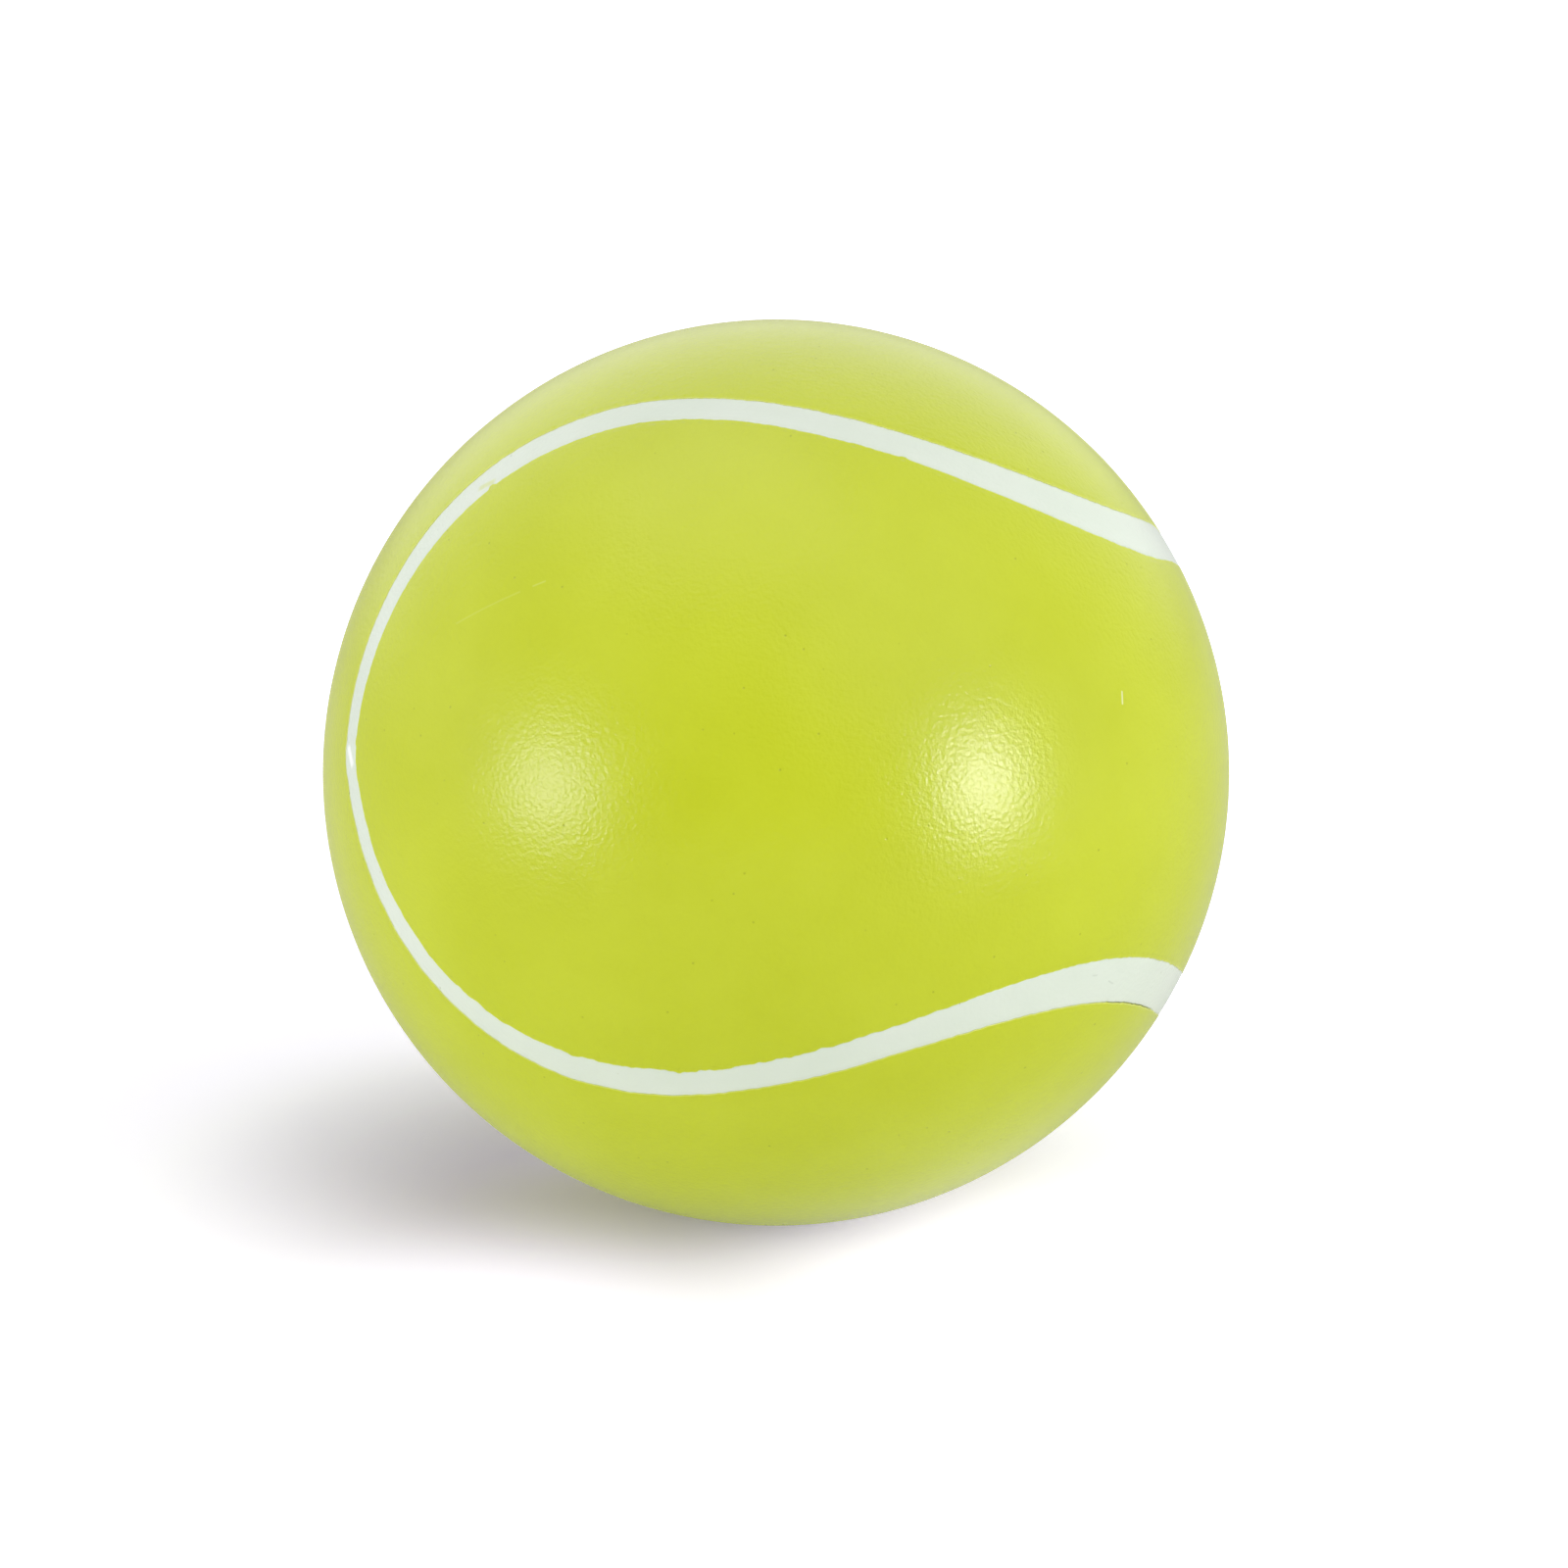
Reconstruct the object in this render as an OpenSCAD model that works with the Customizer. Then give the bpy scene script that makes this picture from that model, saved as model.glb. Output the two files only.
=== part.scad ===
// Soft foam ball finished as a tennis ball: a moulded polyurethane foam body in its own dense skin,
// two lime fields of paint, and one white line that fills a shallow channel along a tennis ball's seam.
// The origin is the ball's centre and +Z is up. The ball lies on its lowest point.
// The seam turns about the X axis: the front and back lobes join at a waist on the +X side,
// and the top and bottom lobes join at a waist on the -X side.

/* [Ball] */
// Outside diameter over the paint
ball_d = 63.5; // [58:0.5:70]
// Thickness of the dense skin that the foam forms against the mould
skin_t = 1; // [0.6:0.1:2.5]

/* [Line] */
// Waist of a field, measured along the surface between the middles of the line
waist_w = 30.2; // [26:0.2:34]
// Width of the white line, measured along the surface
line_w = 2.6; // [1.6:0.1:4]
// Depth of the moulded channel below the foam's surface
channel_depth = 0.1; // [0.05:0.05:0.5]

/* [Paint] */
// Thickness of the lime coat
lime_t = 0.2; // [0.1:0.01:0.4]
// Thickness of the white paint that fills the channel to just below the lime coat's face
line_t = 0.27; // [0.1:0.01:0.4]

/* [Lie] */
// Pitch of the front lobe above the level, in degrees
lobe_pitch = 21; // [0:1:90]

/* [Hidden] */
$fn = 180;

ball_r = ball_d / 2;
// Surface of the foam, under the lime coat
foam_r = ball_r - lime_t;
// Surface of the soft foam, under the skin
core_r = foam_r - skin_t;
// Floor and surface of the painted line
floor_r = foam_r - channel_depth;
line_r = floor_r + line_t;
// The seam's cutters run from half way in to past the ball's surface
cut_in_r = ball_r / 2;
cut_out_r = ball_r + skin_t;

// Angles at the ball's centre for lengths along its surface
function arc_deg(length) = length / ball_r * 180 / PI;
half_waist = arc_deg(waist_w) / 2;
half_line = arc_deg(line_w) / 2;

// Four lobes share the whole turn, and each one's edge crosses the ball's middle half way to the next
quarter_turn = acos(0);
half_lobe = quarter_turn / 2;

// A lobe's edge is a circle on the ball, set by two angles: from the seam's axis to the lobe's tip,
// and from the lobe's direction to the place where its edge crosses the ball's middle
function edge_tilt(tip, crossing) = atan((cos(crossing) - sin(tip)) / cos(tip));
function edge_spread(tip, crossing) = quarter_turn - tip - edge_tilt(tip, crossing);

// The line crosses the middle at a slant
mid_tilt = edge_tilt(half_waist, half_lobe);
slant = atan2(cos(mid_tilt) * sin(half_lobe), sin(mid_tilt));
half_crossing = asin(sin(half_line) / sin(slant));

// Turns the seam from its own axes, with the lobes along X and Y, to how the ball lies
module as_it_lies() {
    rotate([-lobe_pitch, 0, 0]) rotate([90, 0, -90]) children();
}

module shell(r_in, r_out) {
    difference() {
        sphere(r = r_out);
        sphere(r = r_in);
    }
}

// One round lobe towards X, as a cone about its own axis through the ball's centre
module lobe(tip, crossing) {
    spread = edge_spread(tip, crossing);
    near = cut_in_r * cos(spread);
    rotate([0, quarter_turn - edge_tilt(tip, crossing), 0])
        translate([0, 0, near])
            cylinder(h = cut_out_r - near, r1 = near * tan(spread), r2 = cut_out_r * tan(spread));
}

module lobe_pair(tip, crossing) {
    lobe(tip, crossing);
    rotate([0, 0, 180]) lobe(tip, crossing);
}

// Swaps the two fields: half a turn about the place where the line crosses the middle
module other_field() {
    rotate([180, 0, 90]) children();
}

// Everything inside one field: its two lobes, and below the middle all that lies between the other two
module field() {
    lobe_pair(half_waist + half_line, half_lobe - half_crossing);
    difference() {
        translate([0, 0, -cut_out_r]) cylinder(h = cut_out_r, r = cut_out_r);
        other_field() lobe_pair(half_waist - half_line, half_lobe + half_crossing);
    }
}

// The layer between two radii, along the line only
module along_line(r_in, r_out) {
    difference() {
        shell(r_in, r_out);
        field();
        other_field() field();
    }
}

module foam_core() color("#f1e9c4") {
    sphere(r = core_r);
}

module foam_skin() color("#e6dba6") {
    as_it_lies() difference() {
        shell(core_r, foam_r);
        along_line(floor_r, cut_out_r);
    }
}

module lime_coat_front_back() color("#c6d535") {
    as_it_lies() intersection() {
        shell(foam_r, ball_r);
        field();
    }
}

module lime_coat_top_bottom() color("#c6d535") {
    as_it_lies() intersection() {
        shell(foam_r, ball_r);
        other_field() field();
    }
}

module white_line() color("#e3efe0") {
    as_it_lies() along_line(floor_r, line_r);
}

foam_core();
foam_skin();
lime_coat_front_back();
lime_coat_top_bottom();
white_line();
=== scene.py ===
"""Foam tennis ball: moulded foam in its own skin, two sprayed lime fields and a white line along the seam.
Metres; the origin is the ball's centre, +Z is up, and the ball lies on its lowest point."""

import math

import bmesh
import bpy
import numpy as np
from mathutils import Matrix, Vector
from mathutils.geometry import delaunay_2d_cdt


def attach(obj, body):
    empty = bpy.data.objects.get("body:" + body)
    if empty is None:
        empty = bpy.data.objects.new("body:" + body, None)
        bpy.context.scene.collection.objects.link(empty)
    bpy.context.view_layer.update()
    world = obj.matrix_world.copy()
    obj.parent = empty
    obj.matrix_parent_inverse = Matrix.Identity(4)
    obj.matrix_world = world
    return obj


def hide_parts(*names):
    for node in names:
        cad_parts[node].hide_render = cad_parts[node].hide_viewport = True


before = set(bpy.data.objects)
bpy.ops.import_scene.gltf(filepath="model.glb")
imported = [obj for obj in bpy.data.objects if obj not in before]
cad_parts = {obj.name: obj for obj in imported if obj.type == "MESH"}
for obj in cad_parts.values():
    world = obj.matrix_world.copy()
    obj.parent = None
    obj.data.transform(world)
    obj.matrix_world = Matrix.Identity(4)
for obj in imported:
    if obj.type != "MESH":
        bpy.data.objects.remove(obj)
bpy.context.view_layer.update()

MM = 0.001

# Sizes of the solids, as in the part's source
BALL_R = 31.75 * MM
LIME_T = 0.2 * MM
CHANNEL_DEPTH = 0.1 * MM
LINE_T = 0.27 * MM
SKIN_T = 1.0 * MM
FOAM_R = BALL_R - LIME_T
FLOOR_R = FOAM_R - CHANNEL_DEPTH
CORE_R = FOAM_R - SKIN_T
LOBE_PITCH = math.radians(21)

# The seam: a round arc at each lobe's tip, and a straight run across the middle between two lobes
LOBES = 4
HALF_WAIST = math.radians(26.35)
HALF_RUN = math.radians(13.53)
TIP_SPREAD = math.atan((math.cos(HALF_RUN) * math.sqrt(2) - math.sin(HALF_WAIST)) / math.cos(HALF_WAIST))
TIP_TILT = math.pi / 2 - HALF_WAIST - TIP_SPREAD
ARC_SIDE = math.atan2(1, math.sin(TIP_TILT))
HALF_ARC = math.pi - ARC_SIDE - math.atan(math.tan(HALF_RUN) / math.sin(TIP_SPREAD))
ARC_LENGTH = HALF_ARC * math.sin(TIP_SPREAD)
HALF_LOBE_LENGTH = ARC_LENGTH + HALF_RUN
SEAM_TURN = 2 * LOBES * HALF_LOBE_LENGTH
SEAM_MM = SEAM_TURN * BALL_R / MM
SEAM_STEP = 0.15 * MM

# Lobe axes and the seam's own axis, as the ball lies
LOBE_FRONT = Vector((0, -math.cos(LOBE_PITCH), math.sin(LOBE_PITCH)))
LOBE_TOP = Vector((0, math.sin(LOBE_PITCH), math.cos(LOBE_PITCH)))
SEAM_AXIS = Vector((-1, 0, 0))
AS_IT_LIES = np.array([LOBE_FRONT, LOBE_TOP, SEAM_AXIS])
# The middle of each field, between its two lobes
FRONT_POLE = -np.array(SEAM_AXIS)
TOP_POLE = np.array(SEAM_AXIS)

# How the two edges of the line wander about the seam: millimetres along it from the low crossing left
# of the front lobe, then each edge's offset in millimetres, the front field's side first. The rows from
# -12 to 96 are as a program fitted them to the edges in the photograph, at listed places. The five rows
# before them and the five after were set from such values, and from points picked near the ball's rim
# that a program measured. The rest are made up, for the sides that the photograph doesn't show.
EDGE_OFFSETS = (
    (-68.0, -1.25, 1.45), (-60.0, -1.10, 1.80), (-53.0, -0.60, 2.50), (-47.0, 0.00, 3.20),
    (-42.8, 0.25, 3.65), (-38.9, 0.17, 3.62), (-34.5, -0.40, 3.05), (-29.0, -1.28, 2.20),
    (-24.0, -1.75, 1.58), (-18.0, -1.68, 1.26), (-12.0, -1.28, 1.25), (-6.0, -1.10, 1.19),
    (0.0, -0.96, 1.23), (6.0, -0.87, 1.33), (12.0, -1.28, 1.09), (18.0, -1.31, 0.96), (24.0, -1.27, 0.76),
    (30.0, -1.27, 0.77), (35.0, -0.98, 0.88), (39.0, -0.70, 1.21), (42.5, -0.11, 1.82), (45.5, -0.32, 1.63),
    (49.0, -0.75, 1.36), (54.0, -1.13, 1.15), (60.0, -1.34, 1.24), (66.0, -1.37, 1.26), (72.0, -1.36, 1.19),
    (78.0, -1.11, 1.32), (84.0, -1.10, 1.28), (90.0, -1.32, 1.17), (96.0, -1.21, 1.32),
    (102.0, -1.56, 1.33), (108.0, -1.82, 1.37), (113.0, -1.76, 1.62), (117.5, -1.35, 2.10),
    (122.0, -0.52, 2.58), (128.0, -0.15, 2.66), (134.0, -0.50, 2.30), (140.0, -0.95, 1.80),
    (148.0, -1.20, 1.45), (160.0, -1.22, 1.34), (175.0, -1.38, 1.22), (190.0, -1.26, 1.30),
    (210.0, -1.34, 1.36), (230.0, -1.20, 1.28), (245.0, -1.32, 1.20), (258.0, -1.26, 1.38),
)
# Nicks where the mask's edge was cut unevenly: place along the seam, half length and depth, in millimetres
NICKS_FRONT = (
    (8.2, 1.1, -0.17), (13.7, 0.45, 0.16), (22.1, 0.5, -0.13), (23.8, 0.3, -0.13), (3.2, 1.2, 0.08),
    (5.3, 0.8, 0.07), (65.0, 0.28, 0.30), (95.6, 0.25, 0.11), (43.9, 0.3, 0.12), (19.8, 0.4, 0.07),
    (-9.5, 1.0, 0.05), (26.5, 1.5, 0.05), (161.0, 0.8, -0.12), (184.5, 0.5, 0.14), (243.0, 0.9, 0.10),
    (276.0, 0.4, -0.12),
)
NICKS_TOP = (
    (14.3, 0.8, 0.10), (-8.4, 0.3, -0.06), (43.0, 0.8, 0.10), (41.0, 0.6, -0.10), (148.0, 0.6, 0.12),
    (205.0, 0.5, -0.10), (258.0, 0.7, 0.09),
)
# Where each edge is more ragged than elsewhere: middle and half length in millimetres, and by how much more
RAGGED_FRONT = (-1.0, 12.0, 1.4)
RAGGED_TOP = (180.0, 20.0, 0.5)
# The raggedness itself: length and height of the waves in millimetres, how many of each length add up,
# and one over the share by which their lengths differ
EDGE_WAVES = ((3.1, 0.012), (1.3, 0.010), (0.7, 0.008))
WAVES_EACH = 6
WAVE_SCATTER = 5
# Where the line's paint has drawn away from the lime coat of the top and bottom field: place along the
# seam, half length and width, in millimetres
OPENED = ((-31.5, 5.0, 0.07), (152.0, 3.5, 0.07), (221.0, 5.0, 0.06))

# Rounding of the lime coat's border, beside the white paint that fills the channel nearly flush
LIP_W = 0.1 * MM
LIP_DROP = 0.05 * MM
# Rows of points beside the coat's border, finest at the lip, and how far apart the points of the open
# face, of the coat's underside and of the skin are
RING_GAPS = [gap * MM for gap in (0, 0.012, 0.03, 0.06, 0.1, 0.15, 0.22, 0.36)]
COAT_SPREAD = 0.37 * MM
UNDERSIDE_SPREAD = 1.6 * MM
SKIN_SPREAD = 0.8 * MM
# The first row past a border, and the nearest that other points come to the border, as shares of a spread
FIRST_ROW_SHARE = 0.45
CLEAR_SHARE = 0.75
# The skin's channel: the width of its sloped sides as an angle. It takes one in three of the seam's points.
CHANNEL_SLOPE = 0.08 * MM / BALL_R
CHANNEL_EVERY = 3


def unit(rows):
    return rows / np.linalg.norm(rows, axis=-1, keepdims=True)


def seam_path(step):
    """Points of the seam on the unit sphere, the direction across it and the length along it, as it lies."""
    count = round(SEAM_TURN * BALL_R / step)
    along = np.arange(count) / count * SEAM_TURN
    lobe = np.floor(along / (2 * HALF_LOBE_LENGTH)).astype(int)
    from_tip = along - (2 * lobe + 1) * HALF_LOBE_LENGTH
    turn = np.where(from_tip < 0, -1.0, 1.0)[:, None]
    azimuth = lobe * math.pi / 2
    zero = np.zeros(count)
    out = np.stack([np.cos(azimuth), np.sin(azimuth), zero], 1)
    on = np.stack([-np.sin(azimuth), np.cos(azimuth), zero], 1)
    up = np.stack([zero, zero, np.where(lobe % 2 == 0, 1.0, -1.0)], 1)
    centre = math.cos(TIP_TILT) * out + math.sin(TIP_TILT) * up
    top = -math.sin(TIP_TILT) * out + math.cos(TIP_TILT) * up

    def on_arc(angle):
        ring = np.cos(angle)[:, None] * top + np.sin(angle)[:, None] * turn * on
        return math.cos(TIP_SPREAD) * centre + math.sin(TIP_SPREAD) * ring

    run = np.abs(from_tip) - ARC_LENGTH
    arc = on_arc(np.minimum(np.abs(from_tip), ARC_LENGTH) / math.sin(TIP_SPREAD))
    start = on_arc(np.full(count, HALF_ARC))
    crossing = unit(out + turn * on)
    ahead = unit(crossing - (crossing * start).sum(1, keepdims=True) * start)
    straight = np.cos(run)[:, None] * start + np.sin(run)[:, None] * ahead
    points = np.where(run[:, None] > 0, straight, arc)
    tangent = unit(np.roll(points, -1, 0) - np.roll(points, 1, 0))
    across = unit(np.cross(points, tangent))
    return points @ AS_IT_LIES, across @ AS_IT_LIES, along * BALL_R / MM


def swell(along, centre, half):
    """1 at a place along the seam, falling to 0 about a half length from it, all in millimetres."""
    away = (along - centre + SEAM_MM / 2) % SEAM_MM - SEAM_MM / 2
    return np.exp(-((away / half) ** 4))


def wander(along, column, nicks, ragged, seed):
    """One edge's offset from the seam at each place along it, as an angle."""
    table = np.array(sorted((row[0] % SEAM_MM, row[column]) for row in EDGE_OFFSETS))
    place = np.concatenate([table[-2:, 0] - SEAM_MM, table[:, 0], table[:3, 0] + SEAM_MM])
    value = np.concatenate([table[-2:, 1], table[:, 1], table[:3, 1]])
    slope = np.zeros_like(value)
    slope[1:-1] = (value[2:] - value[:-2]) / (place[2:] - place[:-2])
    # A smooth curve through the table's rows, with the slope at each row taken from its neighbours
    i = np.searchsorted(place, along, side="right") - 1
    gap = place[i + 1] - place[i]
    t = (along - place[i]) / gap
    offset = (2 * t**3 - 3 * t**2 + 1) * value[i] + (t**3 - 2 * t**2 + t) * gap * slope[i]
    offset += (3 * t**2 - 2 * t**3) * value[i + 1] + (t**3 - t**2) * gap * slope[i + 1]
    for centre, half, depth in nicks:
        offset += depth * swell(along, centre, half)
    centre, half, more = ragged
    uneven = 1 + more * swell(along, centre, half)
    rng = np.random.default_rng(seed)
    for length, height in EDGE_WAVES:
        waves = int(SEAM_MM / length)
        rough = np.zeros_like(along)
        for _ in range(WAVES_EACH):
            number = waves + rng.integers(-waves // WAVE_SCATTER, waves // WAVE_SCATTER)
            rough += np.sin(2 * math.pi * (along / SEAM_MM * number + rng.random()))
        offset += uneven * height * rough / math.sqrt(WAVES_EACH / 2)
    return offset * MM / BALL_R


SEAM, ACROSS, ALONG = seam_path(SEAM_STEP)
EDGE_FRONT = wander(ALONG, 1, NICKS_FRONT, RAGGED_FRONT, 3)
EDGE_TOP = wander(ALONG, 2, NICKS_TOP, RAGGED_TOP, 5)
# The border of the top and bottom coat leaves the line where the two have opened
COAT_TOP = EDGE_TOP.copy()
for centre, half, width in OPENED:
    COAT_TOP += width * MM / BALL_R * swell(ALONG, centre, half)


def beside_seam(angle, every=1):
    """Unit points at that angle beside the seam, one angle for each place along it."""
    angle = angle[::every, None]
    return np.cos(angle) * SEAM[::every] + np.sin(angle) * ACROSS[::every]


def lattice(gap, radius):
    """Unit points spread evenly over the ball, about gap apart."""
    count = int(4 * math.pi * radius**2 / (gap**2 * math.sqrt(3) / 2))
    i = np.arange(count) + 0.5
    z = 1 - 2 * i / count
    turn = i * math.pi * (3 - math.sqrt(5))
    flat = np.sqrt(1 - z * z)
    return np.stack([flat * np.cos(turn), flat * np.sin(turn), z], 1)


def offset_from_seam(points, every=4, batch=8192):
    """For unit points: the index of the nearest place along the seam, and the signed angle from it there."""
    near = np.empty(len(points), int)
    path = SEAM[::every].astype(np.float32)
    for first in range(0, len(points), batch):
        part = points[first : first + batch].astype(np.float32)
        near[first : first + batch] = np.argmax(part @ path.T, axis=1) * every
    return near, np.arcsin(np.clip((points * ACROSS[near]).sum(1), -1, 1))


def fill_field(loop, inside, pole):
    """Triangles that fill a closed loop of unit points about a pole, with unit points inside it: (points,
    triangles). The first points are the loop's own, in order."""
    aside, weld = (0, 0.3, 1.0), 1e-9
    first = unit(np.cross(pole, aside))
    second = np.cross(pole, first)
    points = np.concatenate([loop, inside])
    flat = np.stack([points @ first, points @ second], 1) / (1 + points @ pole)[:, None]
    ring = [(i, (i + 1) % len(loop)) for i in range(len(loop))]
    made = delaunay_2d_cdt([Vector(p) for p in flat], ring, [], 1, weld, True)
    source = np.array([ids[0] for ids in made[3]])
    return points, source[np.array(made[2])]


def face_out(points, triangles):
    """Turns round each triangle that faces the ball's centre."""
    a, b, c = (points[triangles[:, k]] for k in range(3))
    inward = (np.cross(b - a, c - a) * (a + b + c)).sum(1) < 0
    triangles[inward] = triangles[inward][:, ::-1]
    return triangles


def strip(rings):
    """Quads between closed rings of point numbers, each of the same length."""
    quads = []
    for low, high in zip(rings, rings[1:]):
        quads.append(np.stack([low, np.roll(low, -1), np.roll(high, -1), high], 1))
    return np.concatenate(quads)


def quads_out(quads, points, low, high):
    """The quads, turned round if they face the ball's centre at the first corner of two of their rings."""
    a, b, c = points[low[0]], points[low[1]], points[high[0]]
    return quads[:, ::-1] if np.dot(np.cross(b - a, c - a), a) < 0 else quads


def put_in_scene(name, data):
    made = bpy.data.objects.new(name, data)
    bpy.context.scene.collection.objects.link(made)
    return made


def new_mesh(name, points, faces, **attributes):
    """A piece from points and faces, with a value at each point for every attribute."""
    mesh = bpy.data.meshes.new(name)
    mesh.from_pydata([tuple(p) for p in points], [], [tuple(f) for f in faces])
    for key, values in attributes.items():
        layer = mesh.attributes.new(key, "FLOAT", "POINT")
        layer.data.foreach_set("value", np.asarray(values, np.float32))
    mesh.update()
    return put_in_scene(name, mesh)


def coat_layer(name, edge, side, pole):
    """A thin closed coat over one field. edge is the angle of its border beside the seam, and side is +1 or
    -1, the way to its inside. Attribute edge is the distance from the border, free is 1 on the open face."""
    count = len(SEAM)
    points, from_border, free, faces = [], [], [], []

    def put(unit_points, radius, distance, is_free):
        first = sum(len(p) for p in points)
        points.append(unit_points * radius)
        from_border.append(np.broadcast_to(distance, len(unit_points)))
        free.append(np.full(len(unit_points), is_free))
        return first + np.arange(len(unit_points))

    def fill(radius, gap, spread):
        grid = lattice(spread, radius)
        near, angle = offset_from_seam(grid)
        distance = side * (angle - edge[near]) * BALL_R
        keep = distance > gap + CLEAR_SHARE * spread
        row = beside_seam(edge + side * (gap + FIRST_ROW_SHARE * spread) / BALL_R, every=2)
        inside = np.concatenate([grid[keep], row])
        loop = beside_seam(edge + side * gap / BALL_R)
        all_points, triangles = fill_field(loop, inside, pole)
        return all_points, face_out(all_points, triangles), distance[keep], len(row)

    rings = [put(beside_seam(edge + side * gap / BALL_R), BALL_R, gap, 1.0) for gap in RING_GAPS]
    filled, triangles, distance, row = fill(BALL_R, RING_GAPS[-1], COAT_SPREAD)
    distance = np.concatenate([distance, np.full(row, RING_GAPS[-1] + FIRST_ROW_SHARE * COAT_SPREAD)])
    numbers = np.concatenate([rings[-1], put(filled[count:], BALL_R, distance, 1.0)])
    faces += [tuple(t) for t in numbers[triangles]]

    filled, triangles, distance, row = fill(FOAM_R, RING_GAPS[0], UNDERSIDE_SPREAD)
    distance = np.concatenate([np.zeros(count), distance, np.zeros(row)])
    numbers = put(filled, FOAM_R, distance, 0.0)
    faces += [tuple(t) for t in numbers[triangles][:, ::-1]]

    joined = np.concatenate(points)
    quads = quads_out(strip([numbers[:count]] + rings), joined, rings[0], rings[1])
    faces = [tuple(q) for q in quads] + faces
    return new_mesh(name, joined, faces, edge=np.concatenate(from_border), free=np.concatenate(free))


def moulded_skin(name):
    """The foam's own skin: its outer face with the channel for the line, and its inner face on the foam."""
    front, top = EDGE_FRONT, COAT_TOP
    profile = (
        (front - 3 * CHANNEL_SLOPE, FOAM_R), (front, FOAM_R), (front + CHANNEL_SLOPE, FLOOR_R),
        ((front + top) / 2, FLOOR_R),
        (top - CHANNEL_SLOPE, FLOOR_R), (top, FOAM_R), (top + 3 * CHANNEL_SLOPE, FOAM_R),
    )
    points = [beside_seam(angle, CHANNEL_EVERY) * radius for angle, radius in profile]
    count = len(points[0])
    rings = [i * count + np.arange(count) for i in range(len(profile))]
    quads = quads_out(strip(rings), np.concatenate(points), rings[0], rings[1])
    faces = [tuple(q) for q in quads]
    grid = lattice(SKIN_SPREAD, FOAM_R)
    near, angle = offset_from_seam(grid)
    for ring, border, side, pole in (
        (rings[0], profile[0][0], -1, FRONT_POLE), (rings[-1], profile[-1][0], 1, TOP_POLE),
    ):
        inside = grid[side * (angle - border[near]) * FOAM_R > CLEAR_SHARE * SKIN_SPREAD]
        filled, triangles = fill_field(beside_seam(border, CHANNEL_EVERY), inside, pole)
        numbers = np.concatenate([ring, sum(len(p) for p in points) + np.arange(len(inside))])
        points.append(inside * FOAM_R)
        faces += [tuple(t) for t in numbers[face_out(filled, triangles)]]
    outer = sum(len(p) for p in points)
    ball = bmesh.new()
    bmesh.ops.create_icosphere(ball, subdivisions=6, radius=CORE_R)
    points.append(np.array([v.co for v in ball.verts]))
    faces += [tuple(outer + v.index for v in reversed(f.verts)) for f in ball.faces]
    ball.free()
    joined = np.concatenate(points)
    free = (np.arange(len(joined)) < outer).astype(float)
    return new_mesh(name, joined, faces, edge=free, free=free)


def seam_line(name):
    """The seam as a closed line, with the line's two edges and its own directions at each place."""
    mesh = bpy.data.meshes.new("seam")
    count = len(SEAM)
    mesh.from_pydata([tuple(p) for p in SEAM * FOAM_R], [(i, (i + 1) % count) for i in range(count)], [])
    for key, kind, field, values in (
        ("near_edge", "FLOAT", "value", EDGE_FRONT), ("far_edge", "FLOAT", "value", EDGE_TOP),
        ("middle", "FLOAT_VECTOR", "vector", SEAM), ("across", "FLOAT_VECTOR", "vector", ACROSS),
    ):
        layer = mesh.attributes.new(key, kind, "POINT")
        layer.data.foreach_set(field, np.ascontiguousarray(values, np.float32).ravel())
    return put_in_scene(name, mesh)


def add(tree, kind, inputs=None, **settings):
    """Adds one node. Its inputs, by name or place, are values or other nodes' outputs, and its settings are
    its own fields."""
    node = tree.nodes.new(kind)
    for name, value in settings.items():
        setattr(node, name, value)
    for socket, value in (inputs or {}).items():
        if isinstance(value, bpy.types.NodeSocket):
            tree.links.new(value, node.inputs[socket])
        else:
            node.inputs[socket].default_value = value
    return node


def colour(hex_code):
    """An sRGB hex colour as linear RGBA."""
    shares = [int(hex_code[i : i + 2], 16) / 255 for i in (1, 3, 5)]
    return [s / 12.92 if s <= 0.04045 else ((s + 0.055) / 1.055) ** 2.4 for s in shares] + [1.0]


WHITE = colour("#FFFFFF")
BLACK = colour("#000000")


def rule_tree(name, sizes):
    """An empty Geometry Nodes tree with a geometry in and out, and a named input for each size."""
    tree = bpy.data.node_groups.new(name, "GeometryNodeTree")
    face = tree.interface
    face.new_socket("Geometry", in_out="INPUT", socket_type="NodeSocketGeometry")
    for size, default in sizes.items():
        face.new_socket(size, in_out="INPUT", socket_type="NodeSocketFloat").default_value = default
    face.new_socket("Material", in_out="INPUT", socket_type="NodeSocketMaterial")
    face.new_socket("Geometry", in_out="OUTPUT", socket_type="NodeSocketGeometry")
    return tree, add(tree, "NodeGroupInput").outputs, add(tree, "NodeGroupOutput").inputs


def end_tree(tree, size, out, geometry):
    real = add(tree, "GeometryNodeRealizeInstances", {"Geometry": geometry}).outputs[0]
    painted = add(tree, "GeometryNodeSetMaterial", {"Geometry": real, "Material": size["Material"]})
    tree.links.new(painted.outputs[0], out[0])
    return tree


def shape(piece, tree, material, **sizes):
    """Runs a tree on a piece, with its inputs set by their identifiers, and keeps the result as its mesh."""
    modifier = piece.modifiers.new("rule", "NODES")
    modifier.node_group = tree
    for item in tree.interface.items_tree:
        if item.in_out == "INPUT" and item.name in sizes:
            modifier[item.identifier] = float(sizes[item.name])
        elif item.in_out == "INPUT" and item.name == "Material":
            modifier[item.identifier] = material
    bpy.context.view_layer.update()
    graph = bpy.context.evaluated_depsgraph_get()
    mesh = bpy.data.meshes.new_from_object(piece.evaluated_get(graph), depsgraph=graph)
    piece.modifiers.clear()
    piece.data = mesh
    mesh.name = piece.name
    mesh.shade_smooth()


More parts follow.
